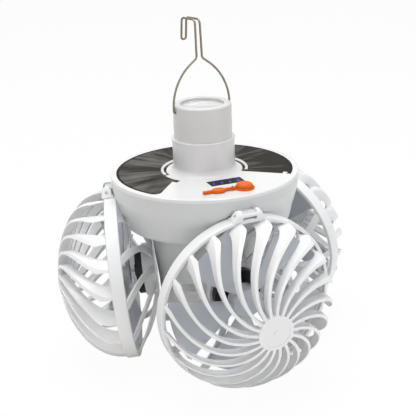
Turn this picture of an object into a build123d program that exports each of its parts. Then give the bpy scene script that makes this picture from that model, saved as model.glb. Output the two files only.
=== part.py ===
from build123d import *
from math import cos, radians, sin, sqrt
import os

os.makedirs("parts", exist_ok=True)

# Portable camping fan: a round body with a torch neck, a wire hook, a solar cover
# and a lamp below, and three guarded fan pods hinged under its rim.
# Origin on the body's axis, on the table the guards stand on. +Z up, millimetres.
# "Depth" and "height" of body pieces count from the top of the cover.

# ---------------------------------------------------------------- body sizes
rim_radius = 61.0
cover_thickness = 2.4
cover_lip_wall = 1.7
cover_lip_depth = 2.6
cover_edge_round = 0.8
shell_wall = 2.0
bowl_depth = 33.0
bowl_lip_inset = 0.1
bowl_shoulder_depth = 9.0
bowl_shoulder_inset = 0.5
bowl_step_depth = 19.0
bowl_step_inset = 2.8
bowl_step = 0.4
bowl_foot_inset = 6.2
bowl_corner_round = 5.0
part_fit = 0.1

# ---------------------------------------------------------------- neck and torch
neck_radius = 18.7
neck_wall = 2.0
neck_rise = 22.0
sleeve_rise = 22.0
sleeve_step = 1.4
sleeve_foot_round = 4.2
bead_rise = 1.4
bead_proud = 0.4
neck_spigot_length = 6.0
torch_lip_radius = 14.0
torch_lip_height = 1.6
lens_thickness = 2.4
lens_crown = 0.9
reflector_depth = 10.9
reflector_wall = 1.0
reflector_throat = 5.0
led_board_thickness = 1.5
wire_passage_radius = 5.0

# ---------------------------------------------------------------- hook wire
hook_wire_radius = 0.68
hook_wire_play = 0.08
hook_azimuth = 26.8
hook_lean = 2.6
hook_pivot_below_top = 4.1
hook_leg_gap = 0.55
hook_leg_end = 1.5
hook_leg_bend = 1.2
hook_leg_height = 19.1
hook_shoulder_bend = 34.0
hook_shank_start = 32.5
hook_shank_bend = 3.0
hook_strand_gap = 2.4
hook_top_strand_gap = 1.9
hook_crook_bend = 3.2
hook_crook_width = 18.5
hook_crook_flare = 2.4
hook_rise = 56.2
hook_tip_height = 42.2

# ---------------------------------------------------------------- cover top
panel_thickness = 1.3
panel_rim_inset = 3.8
panel_neck_gap = 0.6
panel_start = -17.7
panel_end = 240.5
panel_step_angle = 205.0
panel_step = 3.1
panel_nib_width = 3.8
panel_nib_start = 230.0
panel_nib_end = 236.5
panel_corner_round = 4.0
panel_notch_inset = 4.0
panel_notch_width = 3.0
panel_notch_depth = 3.5
panel_fit = 0.12

trim_radius = 27.4
trim_width = 2.3
trim_rise = 1.1
trim_sink = 0.5
trim_start = -14.0
trim_end = 203.0

control_azimuth = 291.0
window_length = 22.6
window_width = 9.6
window_thickness = 1.0
window_gap = 2.1
window_shift = 2.1
led_count = 4
led_pitch = 5.43
led_radius = 1.0
led_row_offset = 0.2
button_rim_inset = 13.3
button_shift = 7.4
button_radius = 5.3
button_rise = 3.5
button_round = 2.0
button_travel = 0.8
button_play = 0.08
moving_gap = 0.3
collar_width = 0.65
collar_rise = 1.0
collar_round = 0.35
port_spacing = 17.0
port_plug_length = 6.4
port_plug_width = 3.6
port_plug_depth = 1.6
port_plug_room = 0.6
port_flange_lap = 0.5
port_flange_side = 1.0
strap_thickness = 1.6
strap_width = 2.8
strap_barrel_width = 1.0
strap_tab_length = 6.0
strap_tab_width = 2.4
strap_pin_radius = 0.45
strap_pin_play = 0.05

# ---------------------------------------------------------------- inside the body
cell_radius = 9.2
cell_length = 64.2
cell_gap = 1.5
cell_nub_radius = 2.8
cell_nub_height = 0.8
cell_head_gap = 1.1
holder_base = 2.0
holder_core_radius = 14.0
board_thickness = 1.6
board_depth = 7.0
board_start = -41.0
board_end = 44.0
board_rim_gap = 9.0
board_pack_gap = 3.3
screw_radius = 1.5
screw_head_radius = 2.75
screw_head_height = 1.8
screw_play = 0.05
boss_wall = 1.6
boss_rim_gap = 16.8
boss_joint_depth = 12.0
screw_seat_depth = 16.0

# ---------------------------------------------------------------- lower body
lower_spread = 2.9
lower_taper = 5.2
flange_width = 2.2
lower_floor = 2.0
lower_skirt = 3.5
diffuser_height = 15.5
diffuser_wall = 1.6
diffuser_taper = 0.9
diffuser_round = 5.0
lamp_board_gap = 2.0
lamp_led_count = 8

# ---------------------------------------------------------------- pods
left_pod_azimuth = 182.0
front_pod_azimuth = 293.0
right_pod_azimuth = 52.0
right_pod_opening = 14.0
fold_tilt = 5.0
hinge_reach = 3.0
hinge_drop = 10.7
hinge_gap = 2.4
pin_lead = 2.0
pin_radius = 1.0
pin_play = 0.05
ring_radius = 57.5
band_depth = 4.25
band_wall = 2.2
band_round = 0.8
spigot_wall = 1.4
spigot_rise = 1.8

vane_count = 20
vane_thickness = 1.9
vane_edge_depth = 4.2
vane_crown_depth = 5.5
vane_root = 2.0
vane_start_angle = 6.8
vane_mid_turn = 29.5
vane_end_turn = 45.0
dome_inset = 1.0
dome_rise = 39.0
disc_radius = 11.5
disc_thickness = 3.2
disc_sink = 0.4
disc_recess = 0.3
disc_rim = 2.0
disc_nub_radius = 1.5
disc_nub_rise = 0.5

rib_count = 12
rib_width = 4.2
rib_depth = 2.0
rib_mid_turn = 14.0
rib_end_turn = 20.0
rear_inset = 2.0
rear_rise = 17.5
rear_bulge = 2.2
motor_radius = 16.0
motor_length = 10.75
motor_boss_radius = 4.0
motor_boss_rise = 1.5
motor_cup_wall = 1.5
motor_cup_height = 6.0
motor_plate = 2.0
motor_plate_edge = 1.9
motor_screw_radius = 0.95
motor_screw_head = 1.9
motor_screw_length = 5.0
motor_screw_circle = 10.0
shaft_radius = 1.0
shaft_play = 0.05
rotor_gap = 3.4
hub_radius = 10.0
hub_length = 10.0
hub_wall = 1.8
blade_count = 5
blade_thickness = 1.4
blade_tip_gap = 3.8
blade_start_angle = 50.0
blade_root_chord = 6.5
blade_root_pitch = 38.0
blade_tip_chord = 46.0
blade_tip_round = 14.0
blade_tip_pitch = 19.0
blade_camber = 2.0

lug_width = 21.0
lug_top_width = 13.6
lug_radius = 3.1
lug_foot = 1.7
knuckle_width = 9.0
knuckle_radius = 2.1
knuckle_arm = 3.8
lug_window_height = 2.0
pod_recess_gap = 0.8
hinge_pocket_gap = 0.8
hinge_back_wall = 1.5
hinge_bay_height = 6.0
hinge_bay_drop = 1.6
hinge_bay_reach = 3.0

# ---------------------------------------------------------------- derived sizes
hinge_radius = rim_radius + hinge_reach
arm_length = ring_radius + hinge_gap
fold_sine = sin(radians(fold_tilt))
fold_cosine = cos(radians(fold_tilt))
ring_drop = hinge_drop + arm_length * fold_cosine - pin_lead * fold_sine
ring_offset = hinge_radius - arm_length * fold_sine - pin_lead * fold_cosine
band_corner = ring_radius - band_round
foot_drop = band_corner * fold_cosine + (band_depth - band_round) * fold_sine + band_round
rim_height = ring_drop + foot_drop

rear_radius = ring_radius - rear_inset
cup_radius = motor_radius + part_fit + motor_cup_wall
plate_radius = cup_radius + motor_plate_edge
rear_flat = plate_radius - 1.0
rear_apex = ring_offset - (band_depth + rear_rise) * fold_cosine
lower_radius = rear_apex + lower_spread
lower_inner = lower_radius - shell_wall
pack_radius = (2 * cell_radius + cell_gap) / sqrt(3)
pack_reach = pack_radius + cell_radius
cell_top = -cover_thickness - cell_head_gap - cell_nub_height
cell_foot = cell_top - cell_length
floor_top = cell_foot - holder_base
lower_foot = floor_top - lower_floor - lower_skirt
skirt_inner = lower_radius - lower_taper - shell_wall

sleeve_radius = neck_radius + sleeve_step
sleeve_inner = sleeve_radius - neck_wall
neck_inner = neck_radius - neck_wall
neck_top = sleeve_rise + neck_rise
lens_radius = neck_inner - part_fit
lens_seat = neck_top - torch_lip_height - lens_thickness
reflector_foot = lens_seat - reflector_depth
led_board_foot = reflector_foot - led_board_thickness

panel_outer = rim_radius - panel_rim_inset
panel_inner = sleeve_radius + sleeve_foot_round + panel_neck_gap
window_centre = sleeve_radius + sleeve_foot_round + window_gap + window_width / 2
led_row = window_centre + led_row_offset
button_centre = rim_radius - button_rim_inset
board_inner = pack_reach + board_pack_gap
board_outer = rim_radius - board_rim_gap
board_foot = -board_depth - board_thickness
boss_circle = rim_radius - boss_rim_gap
boss_radius = screw_head_radius + part_fit + boss_wall / 2
plug_centre = button_shift - port_spacing
strap_pin_shift = button_shift - button_radius - moving_gap - collar_width - 1.2
pin_slope = (lug_width - lug_top_width) / 2 / (hinge_gap + lug_radius)
pin_half = lug_width / 2 - pin_slope * (hinge_gap + pin_radius) - 0.3
strap_pin_rise = moving_gap + strap_thickness / 2

pods = (
    ("left_pod", left_pod_azimuth, 0.0),
    ("front_pod", front_pod_azimuth, 0.0),
    ("right_pod", right_pod_azimuth, right_pod_opening),
)
boss_azimuths = (
    (left_pod_azimuth + front_pod_azimuth) / 2,
    (front_pod_azimuth + right_pod_azimuth + 360) / 2,
    (right_pod_azimuth + left_pod_azimuth) / 2,
)


# Horizontal plane at a height over the cover, turned to an azimuth.
def level(height, azimuth=0.0):
    turn = radians(azimuth)
    return Plane(origin=(0, 0, rim_height + height), x_dir=(cos(turn), sin(turn), 0), z_dir=(0, 0, 1))


# Plane of a fan ring: X across, Y up to the hinge, Z out along the fan's axis.
def pod_plane(azimuth, opening):
    turn = radians(azimuth)
    tilt = radians(fold_tilt - opening)
    outward = Vector(cos(turn), sin(turn), 0)
    upward = Vector(0, 0, 1)
    fan_axis = outward * cos(tilt) - upward * sin(tilt)
    reach = outward * sin(tilt) + upward * cos(tilt)
    hinge = outward * hinge_radius + upward * (rim_height - hinge_drop)
    centre = hinge - reach * arm_length - fan_axis * pin_lead
    return Plane(origin=centre, x_dir=(-sin(turn), cos(turn), 0), z_dir=fan_axis)


# Plane at a hinge pin: X along the pin, Y up, Z outward from the body.
def hinge_plane(azimuth):
    turn = radians(azimuth)
    centre = (hinge_radius * cos(turn), hinge_radius * sin(turn), rim_height - hinge_drop)
    return Plane(origin=centre, x_dir=(-sin(turn), cos(turn), 0), z_dir=(cos(turn), sin(turn), 0))


# Point at a radius and an angle in a sketch.
def polar(radius, angle):
    return (radius * cos(radians(angle)), radius * sin(radians(angle)))


section = Plane(origin=(0, 0, rim_height), x_dir=(1, 0, 0), z_dir=(0, -1, 0))

# ---------------------------------------------------------------- neck cap
# Turned-looking plastic tube with an inner lip over the lens, a ledge under the
# torch board and a spigot down into the sleeve; the hook's ends turn in its sides.
ledge_inner = lens_radius - 1.8
with BuildPart() as neck_cap:
    with BuildSketch(section):
        with BuildLine():
            FilletPolyline(
                (neck_inner, sleeve_rise - neck_spigot_length),
                (sleeve_inner - part_fit / 2, sleeve_rise - neck_spigot_length),
                (sleeve_inner - part_fit / 2, sleeve_rise),
                (neck_radius, sleeve_rise),
                (neck_radius, neck_top),
                (torch_lip_radius, neck_top),
                (torch_lip_radius, neck_top - torch_lip_height),
                (neck_inner, neck_top - torch_lip_height),
                (neck_inner, led_board_foot),
                (ledge_inner, led_board_foot),
                (ledge_inner, led_board_foot - 1.6),
                (neck_inner, led_board_foot - 3.2),
                radius=[0, 0, 0, 0, 1.1, 0.5, 0, 0, 0, 0, 0, 0],
                close=True,
            )
        make_face()
    revolve(axis=Axis.Z)
    hook_turn = radians(hook_azimuth)
    hook_across = (cos(hook_turn), sin(hook_turn), 0)
    hook_pivot = (0, 0, rim_height + neck_top - hook_pivot_below_top)
    with BuildSketch(Plane(origin=hook_pivot, x_dir=(0, 0, 1), z_dir=hook_across)):
        Circle(hook_wire_radius + hook_wire_play)
    extrude(amount=neck_radius + 2, both=True, mode=Mode.SUBTRACT)
neck_cap.part.label = "neck_cap"
export_step(neck_cap.part, "parts/neck_cap.step")

# ---------------------------------------------------------------- torch lens
with BuildPart() as torch_lens:
    with BuildSketch(section):
        with BuildLine():
            crown = TangentArc(
                (0, lens_seat + lens_thickness + lens_crown),
                (torch_lip_radius - 0.6, lens_seat + lens_thickness),
                tangent=(1, 0),
            )
            Polyline(
                crown @ 1,
                (lens_radius, lens_seat + lens_thickness),
                (lens_radius, lens_seat),
                (0, lens_seat),
                crown @ 0,
            )
        make_face()
    revolve(axis=Axis.Z)
torch_lens.part.label = "torch_lens"
export_step(torch_lens.part, "parts/torch_lens.step")

# ---------------------------------------------------------------- torch reflector
reflector_rim = lens_radius - part_fit
with BuildPart() as torch_reflector:
    with BuildSketch(section):
        with BuildLine():
            inner_curve = ThreePointArc(
                (reflector_throat, reflector_foot + reflector_wall),
                (reflector_rim - 4.2, reflector_foot + reflector_depth * 0.45),
                (reflector_rim - 1.6, lens_seat),
            )
            Line(inner_curve @ 1, (reflector_rim, lens_seat))
            Line((reflector_rim, lens_seat), (reflector_rim, lens_seat - reflector_wall))
            outer_curve = ThreePointArc(
                (reflector_rim, lens_seat - reflector_wall),
                (reflector_rim - 2.6, reflector_foot + reflector_depth * 0.38),
                (reflector_throat + 1.2, reflector_foot),
            )
            Line(outer_curve @ 1, (reflector_throat, reflector_foot))
            Line((reflector_throat, reflector_foot), inner_curve @ 0)
        make_face()
    revolve(axis=Axis.Z)
torch_reflector.part.label = "torch_reflector"
export_step(torch_reflector.part, "parts/torch_reflector.step")

# ---------------------------------------------------------------- torch LED board
with BuildPart() as torch_led_board:
    with BuildSketch(level(led_board_foot)):
        Circle(lens_radius)
    extrude(amount=led_board_thickness)
    with BuildSketch(level(reflector_foot)):
        Circle(2.6)
    extrude(amount=1.2)
torch_led_board.part.label = "torch_led_board"
export_step(torch_led_board.part, "parts/torch_led_board.step")

# ---------------------------------------------------------------- solar panel outline
# C-shaped plate, stepped out at its left end with a narrow nib there, and a square
# bite at its right end.
step_radius = panel_inner + panel_step
step_arc_angle = panel_nib_end - panel_step_angle
with BuildSketch() as panel_outline:
    with BuildLine():
        outer_arc = CenterArc((0, 0), panel_outer, panel_start, panel_end - panel_start)
        inner_arc = CenterArc((0, 0), panel_inner, panel_start, panel_step_angle - panel_start)
        step_arc = CenterArc((0, 0), step_radius, panel_step_angle, step_arc_angle)
        nib_arc = CenterArc(
            (0, 0),
            step_radius + panel_nib_width,
            panel_nib_start,
            panel_nib_end - panel_nib_start,
        )
        Line(outer_arc @ 0, inner_arc @ 0)
        Line(inner_arc @ 1, step_arc @ 0)
        Line(step_arc @ 1, nib_arc @ 1)
        Line(nib_arc @ 0, outer_arc @ 1)
    make_face()
    panel_corners = panel_outline.vertices().sort_by_distance(polar(panel_outer, panel_end))
    fillet(panel_corners[0], radius=panel_corner_round)
    with Locations(polar(panel_outer - panel_notch_inset, panel_start)):
        Rectangle(panel_notch_width, 2 * panel_notch_depth, rotation=panel_start, mode=Mode.SUBTRACT)

# ---------------------------------------------------------------- top cover
# Moulded disc with the neck's sleeve, pockets for the panel and the indicator
# window, holes for the button and the charging port, and bosses underneath.
led_first = window_shift - led_pitch * (led_count - 1) / 2
window_slot_length = led_pitch * (led_count - 1) + 2 * led_radius + 1.4
socket_top = -cover_thickness - 0.2
port_hole_length = port_plug_length + 2 * port_plug_room
port_hole_width = port_plug_width + 2 * moving_gap
board_posts = (
    (board_inner + 2.9, window_shift - 4.0),
    polar(board_outer - 5.4, board_start + 6),
    polar(board_outer - 5.4, board_end - 6),
)
lip_radius = rim_radius - bowl_lip_inset - shell_wall - part_fit * 2
with BuildPart() as top_cover:
    with BuildSketch(section):
        with BuildLine():
            FilletPolyline(
                (wire_passage_radius, -cover_thickness),
                (lip_radius - cover_lip_wall, -cover_thickness),
                (lip_radius - cover_lip_wall, -cover_thickness - cover_lip_depth),
                (lip_radius, -cover_thickness - cover_lip_depth),
                (lip_radius, -cover_thickness),
                (rim_radius, -cover_thickness),
                (rim_radius, 0),
                (sleeve_radius, 0),
                (sleeve_radius, sleeve_rise - bead_rise),
                (sleeve_radius + bead_proud, sleeve_rise - bead_rise + bead_proud),
                (sleeve_radius + bead_proud, sleeve_rise),
                (sleeve_inner, sleeve_rise),
                (sleeve_inner, 0),
                (wire_passage_radius, 0),
                radius=[0, 0, 0, 0, 0, 0, cover_edge_round, sleeve_foot_round, 0, 0, 0.3, 0, 0, 0],
                close=True,
            )
        make_face()
    revolve(axis=Axis.Z)
    with BuildSketch(level(-panel_thickness)):
        add(offset(panel_outline.sketch, amount=panel_fit, mode=Mode.PRIVATE))
    extrude(amount=panel_thickness + 1, mode=Mode.SUBTRACT)
    with BuildSketch(level(-window_thickness, control_azimuth)):
        with Locations((window_centre, window_shift)):
            Rectangle(window_width + part_fit * 2, window_length + part_fit * 2)
    extrude(amount=window_thickness + 1, mode=Mode.SUBTRACT)
    with BuildSketch(level(0, control_azimuth)):
        with Locations((led_row, window_shift)):
            Rectangle(2 * led_radius + 1.4, window_slot_length)
        with Locations((button_centre, button_shift)):
            Circle(button_radius + button_play)
        with Locations((button_centre, plug_centre)):
            SlotOverall(port_hole_length, port_hole_width, rotation=90)
    extrude(amount=-cover_thickness, mode=Mode.SUBTRACT)
    with BuildSketch(level(-cover_thickness, control_azimuth)):
        with Locations(*board_posts):
            Circle(2.0)
    extrude(amount=cover_thickness - board_depth)
    with BuildSketch(level(-board_depth, control_azimuth)):
        with Locations(*board_posts):
            Circle(0.9)
    extrude(amount=-board_thickness - 0.6)
    with BuildSketch(level(-cover_thickness)):
        with Locations(*[polar(boss_circle, azimuth) for azimuth in boss_azimuths]):
            Circle(screw_radius + boss_wall)
    extrude(amount=cover_thickness - boss_joint_depth)
    with BuildSketch(level(-boss_joint_depth)):
        with Locations(*[polar(boss_circle, azimuth) for azimuth in boss_azimuths]):
            Circle(screw_radius + screw_play)
    extrude(amount=boss_joint_depth - cover_thickness - 0.8, mode=Mode.SUBTRACT)
top_cover.part.label = "top_cover"
export_step(top_cover.part, "parts/top_cover.step")

trim_turn = radians(trim_start)
trim_arc_angle = trim_end - trim_start
trim_section = Plane(
    origin=(0, 0, rim_height),
    x_dir=(cos(trim_turn), sin(trim_turn), 0),
    z_dir=(sin(trim_turn), -cos(trim_turn), 0),
)
with BuildPart() as solar_panel:
    with BuildSketch(level(-panel_thickness)):
        add(panel_outline.sketch)
    extrude(amount=panel_thickness)
    with BuildSketch(trim_section):
        with Locations((trim_radius, 0)):
            Rectangle(trim_width + 2 * panel_fit, 2 * trim_sink)
    revolve(axis=Axis.Z, revolution_arc=trim_arc_angle, mode=Mode.SUBTRACT)
solar_panel.part.label = "solar_panel"
export_step(solar_panel.part, "parts/solar_panel.step")

# ---------------------------------------------------------------- neck trim
# Bright half-round bead set in a groove of the panel round the neck's foot.
with BuildPart() as neck_trim:
    with BuildSketch(trim_section):
        with BuildLine():
            trim_top = EllipticalCenterArc(
                (trim_radius, 0),
                trim_width / 2,
                trim_rise,
                start_angle=0,
                arc_size=180,
            )
            Polyline(
                trim_top @ 1,
                (trim_radius - trim_width / 2, -trim_sink),
                (trim_radius + trim_width / 2, -trim_sink),
                trim_top @ 0,
            )
        make_face()
    revolve(axis=Axis.Z, revolution_arc=trim_arc_angle)
neck_trim.part.label = "neck_trim"
export_step(neck_trim.part, "parts/neck_trim.step")

# ---------------------------------------------------------------- indicator window
led_places = [(led_row, led_first + led_pitch * index) for index in range(led_count)]
with BuildPart() as indicator_window:
    with BuildSketch(level(-window_thickness, control_azimuth)):
        with Locations((window_centre, window_shift)):
            Rectangle(window_width, window_length)
        with Locations(*led_places):
            Circle(led_radius + part_fit, mode=Mode.SUBTRACT)
    extrude(amount=window_thickness)
indicator_window.part.label = "indicator_window"
export_step(indicator_window.part, "parts/indicator_window.step")

# ---------------------------------------------------------------- indicator LEDs
with BuildPart() as indicator_leds:
    with BuildSketch(level(-board_depth, control_azimuth)):
        with Locations(*led_places):
            Circle(led_radius + 0.5)
    extrude(amount=1.4)
    with BuildSketch(level(-board_depth + 1.4, control_azimuth)):
        with Locations(*led_places):
            Circle(led_radius)
    extrude(amount=board_depth - 1.5)
    fillet(indicator_leds.faces().group_by(Axis.Z)[-1].edges(), radius=0.5)
indicator_leds.part.label = "indicator_leds"
export_step(indicator_leds.part, "parts/indicator_leds.step")

# ---------------------------------------------------------------- power button
# Domed cap that slides in its hole, held by a flange under the cover, with a stem
# that reaches down to the switch.
flange_top = -cover_thickness - moving_gap
with BuildPart() as power_button:
    with BuildSketch(level(flange_top - 0.9, control_azimuth)):
        with Locations((button_centre, button_shift)):
            Circle(button_radius + 0.6)
    extrude(amount=0.9)
    with BuildSketch(level(flange_top, control_azimuth)):
        with Locations((button_centre, button_shift)):
            Circle(button_radius)
    extrude(amount=button_rise - flange_top)
    fillet(power_button.faces().sort_by(Axis.Z)[-1].edges(), radius=button_round)
    with BuildSketch(level(flange_top - 0.9, control_azimuth)):
        with Locations((button_centre, button_shift)):
            Circle(1.5)
    extrude(amount=-0.6)
power_button.part.label = "power_button"
export_step(power_button.part, "parts/power_button.step")

# ---------------------------------------------------------------- tactile switch
button_stem_end = flange_top - 0.9 - 0.6
plunger_top = button_stem_end - button_travel - moving_gap
with BuildPart() as tact_switch:
    with BuildSketch(level(-board_depth, control_azimuth)):
        with Locations((button_centre, button_shift)):
            Rectangle(6.0, 6.0)
    extrude(amount=board_depth + plunger_top - 0.5)
    with BuildSketch(level(plunger_top - 0.5, control_azimuth)):
        with Locations((button_centre, button_shift)):
            Circle(1.6)
    extrude(amount=0.5)
tact_switch.part.label = "tact_switch"
export_step(tact_switch.part, "parts/tact_switch.step")

# ---------------------------------------------------------------- strap anchor
# Rubber collar round the button, with two cheeks that carry the port cover's pin.
collar_inner = button_radius + moving_gap
collar_outer = collar_inner + collar_width
cheek_radius = strap_pin_rise
cheek_edge = button_shift - collar_outer + 0.5
cheek_web_height = 2 * strap_pin_rise - 0.9
barrel_radius = strap_thickness / 2
strap_root = strap_pin_shift - cheek_radius - moving_gap
control_side = level(0, control_azimuth)
strap_side = Plane(
    origin=control_side.from_local_coords((button_centre, 0, 0)),
    x_dir=control_side.y_dir,
    z_dir=control_side.x_dir,
)
with BuildPart() as strap_anchor:
    with BuildSketch(control_side):
        with Locations((button_centre, button_shift)):
            Circle(collar_outer)
            Circle(collar_inner, mode=Mode.SUBTRACT)
    extrude(amount=collar_rise)
    collar_edge = strap_anchor.faces().sort_by(Axis.Z)[-1].edges().sort_by(SortBy.RADIUS)[-1]
    fillet(collar_edge, radius=collar_round)
    with BuildSketch(strap_side):
        with Locations((strap_pin_shift, strap_pin_rise)):
            Circle(cheek_radius)
        with Locations(((strap_pin_shift + cheek_edge) / 2, cheek_web_height / 2)):
            Rectangle(cheek_edge - strap_pin_shift, cheek_web_height)
    extrude(amount=strap_width / 2, both=True)
    with BuildSketch(strap_side):
        with Locations((strap_pin_shift, strap_pin_rise)):
            Circle(barrel_radius + moving_gap)
        with Locations((strap_pin_shift - 2, strap_pin_rise)):
            Rectangle(4, 2 * strap_pin_rise + 1)
    extrude(amount=strap_barrel_width / 2 + moving_gap, both=True, mode=Mode.SUBTRACT)
    with BuildSketch(strap_side):
        with Locations((strap_pin_shift, strap_pin_rise)):
            Circle(strap_pin_radius + strap_pin_play)
    extrude(amount=strap_width, both=True, mode=Mode.SUBTRACT)
strap_anchor.part.label = "strap_anchor"
export_step(strap_anchor.part, "parts/strap_anchor.step")

# ---------------------------------------------------------------- port cover
# Rubber strap with an oval plug over the charging port and a pull tab at its end.
tab_end = plug_centre - port_hole_length / 2 - port_flange_lap - strap_tab_length
with BuildPart() as port_cover:
    with BuildSketch(level(moving_gap, control_azimuth)):
        with Locations((button_centre, plug_centre)):
            Ellipse(port_hole_width / 2 + port_flange_side, port_hole_length / 2 + port_flange_lap)
        with Locations((button_centre, (strap_root + plug_centre) / 2)):
            Rectangle(strap_width - 1.2, strap_root - plug_centre)
        with Locations((button_centre, (tab_end + plug_centre) / 2)):
            SlotOverall(plug_centre - tab_end, strap_tab_width - 0.6, rotation=90)
        with Locations((button_centre, tab_end + strap_tab_width / 2)):
            Circle(strap_tab_width / 2)
        with Locations((button_centre, (strap_root + strap_pin_shift) / 2)):
            Rectangle(strap_barrel_width, strap_pin_shift - strap_root + 0.2)
    extrude(amount=strap_thickness)
    with BuildSketch(strap_side):
        with Locations((strap_pin_shift, strap_pin_rise)):
            Circle(barrel_radius)
    extrude(amount=strap_barrel_width / 2, both=True)
    with BuildSketch(strap_side):
        with Locations((strap_pin_shift + barrel_radius + 1, strap_pin_rise)):
            Rectangle(2, 2 * strap_thickness)
    extrude(amount=strap_width, both=True, mode=Mode.SUBTRACT)
    with BuildSketch(strap_side):
        with Locations((strap_pin_shift, strap_pin_rise)):
            Circle(strap_pin_radius)
    extrude(amount=strap_width / 2 - 0.2, both=True)
    with BuildSketch(level(moving_gap, control_azimuth)):
        with Locations((button_centre, plug_centre)):
            SlotOverall(port_plug_length, port_plug_width, rotation=90)
    extrude(amount=-moving_gap - port_plug_depth)
port_cover.part.label = "port_cover"
export_step(port_cover.part, "parts/port_cover.step")

# ---------------------------------------------------------------- charging socket
with BuildPart() as usb_socket:
    with BuildSketch(level(-board_depth, control_azimuth)):
        with Locations((button_centre, plug_centre)):
            RectangleRounded(4.6, 9.4, 0.8)
    extrude(amount=board_depth + socket_top)
    with BuildSketch(level(socket_top, control_azimuth)):
        with Locations((button_centre, plug_centre)):
            SlotOverall(7.4, 2.8, rotation=90)
            Rectangle(0.7, 5.2, mode=Mode.SUBTRACT)
    extrude(amount=-3.4, mode=Mode.SUBTRACT)
usb_socket.part.label = "usb_socket"
export_step(usb_socket.part, "parts/usb_socket.step")

# ---------------------------------------------------------------- circuit board
with BuildPart() as circuit_board:
    with BuildSketch(level(board_foot, control_azimuth)):
        with BuildLine():
            board_far = CenterArc((0, 0), board_outer, board_start, board_end - board_start)
            board_near = CenterArc((0, 0), board_inner, board_start, board_end - board_start)
            Line(board_far @ 0, board_near @ 0)
            Line(board_far @ 1, board_near @ 1)
        make_face()
        with Locations(*board_posts):
            Circle(1.0, mode=Mode.SUBTRACT)
    extrude(amount=board_thickness)
circuit_board.part.label = "circuit_board"
export_step(circuit_board.part, "parts/circuit_board.step")

# ---------------------------------------------------------------- pod shapes the body clears
# Curve of a pod's rear from its flat plate out to the band, grown by an amount.
def rear_curve(grow):
    plate_end = Vector(rear_flat, -band_depth - rear_rise - grow)
    band_end = Vector(rear_radius + grow, -band_depth)
    run = (band_end - plate_end).normalized()
    crest = (plate_end + band_end) * 0.5 + Vector(run.Y, -run.X) * rear_bulge
    return ThreePointArc(plate_end, crest, band_end)


# Space a folded pod takes, grown by a gap: the ring's band, its way out and the rear dome.
def pod_space(gap):
    with BuildPart() as space:
        with BuildSketch(Plane.XZ):
            with BuildLine():
                space_edge = rear_curve(gap)
                Polyline(
                    space_edge @ 1,
                    (0, -band_depth),
                    (0, -band_depth - rear_rise - gap),
                    space_edge @ 0,
                )
            make_face()
        revolve(axis=Axis.Z)
        with BuildSketch(Plane.XY.offset(-band_depth - gap)):
            Circle(ring_radius + gap)
        extrude(amount=60)
    return space.part


recess_shape = pod_space(pod_recess_gap)
recess_wall_shape = pod_space(pod_recess_gap + shell_wall)

# Space round a hinge lug: a round bay about the pin and a flat one above the ring.
pocket_half = lug_width / 2 + hinge_pocket_gap
ring_back = pin_lead + band_depth + pod_recess_gap
with BuildPart() as hinge_pocket:
    with BuildSketch(Plane.YZ):
        Circle(lug_radius + hinge_pocket_gap)
        with Locations((-hinge_gap - hinge_bay_drop, (hinge_bay_reach - ring_back) / 2)):
            Rectangle(hinge_bay_height, ring_back + hinge_bay_reach)
    extrude(amount=pocket_half, both=True)

# Wall behind that space, kept solid when the bowl is hollowed.
backing_top = hinge_drop - cover_thickness - cover_lip_depth - 0.6
backing_foot = -hinge_gap - hinge_bay_drop - hinge_bay_height / 2 - hinge_back_wall
backing_depth = ring_back + hinge_back_wall
backing_reach = backing_depth - 2.0
with BuildPart() as hinge_backing:
    with BuildSketch(Plane.YZ):
        with Locations(((backing_top + backing_foot) / 2, (backing_reach - backing_depth) / 2)):
            Rectangle(backing_top - backing_foot, backing_reach + backing_depth)
    extrude(amount=pocket_half + hinge_back_wall, both=True)

# Knuckle of the bowl: a short barrel on an arm, bored for the hinge pin.
arm_root = ring_back - 1.9
with BuildPart() as hinge_knuckle:
    with BuildSketch(Plane.YZ):
        Circle(knuckle_radius)
        with Locations((0, -arm_root / 2)):
            Rectangle(knuckle_arm, arm_root)
    extrude(amount=knuckle_width / 2, both=True)
    with BuildSketch(Plane.YZ):
        Circle(pin_radius + pin_play)
    extrude(amount=knuckle_width, both=True, mode=Mode.SUBTRACT)

# ---------------------------------------------------------------- upper housing (bowl)
# Moulded bowl with three scooped sides for the folded pods, a knuckle at each of
# them, screw bosses between them and a round hole in its floor.
bowl_inner = rim_radius - bowl_lip_inset - shell_wall
with BuildPart() as bowl_hollow:
    with BuildSketch(section):
        with BuildLine():
            FilletPolyline(
                (0, 1),
                (bowl_inner, 1),
                (bowl_inner, -cover_thickness - cover_lip_depth),
                (bowl_inner - bowl_shoulder_inset + bowl_lip_inset, -bowl_shoulder_depth),
                (bowl_inner - bowl_step_inset - bowl_step + bowl_lip_inset, -bowl_step_depth),
                (bowl_inner - bowl_foot_inset + bowl_lip_inset, -bowl_depth + shell_wall),
                (0, -bowl_depth + shell_wall),
                radius=[0, 0, 0, 0, 0, bowl_corner_round - shell_wall, 0],
                close=True,
            )
        make_face()
    revolve(axis=Axis.Z)
    for pod_name, azimuth, opening in pods:
        add(recess_wall_shape.moved(pod_plane(azimuth, 0).location), mode=Mode.SUBTRACT)
        add(hinge_backing.part.moved(hinge_plane(azimuth).location), mode=Mode.SUBTRACT)

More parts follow.
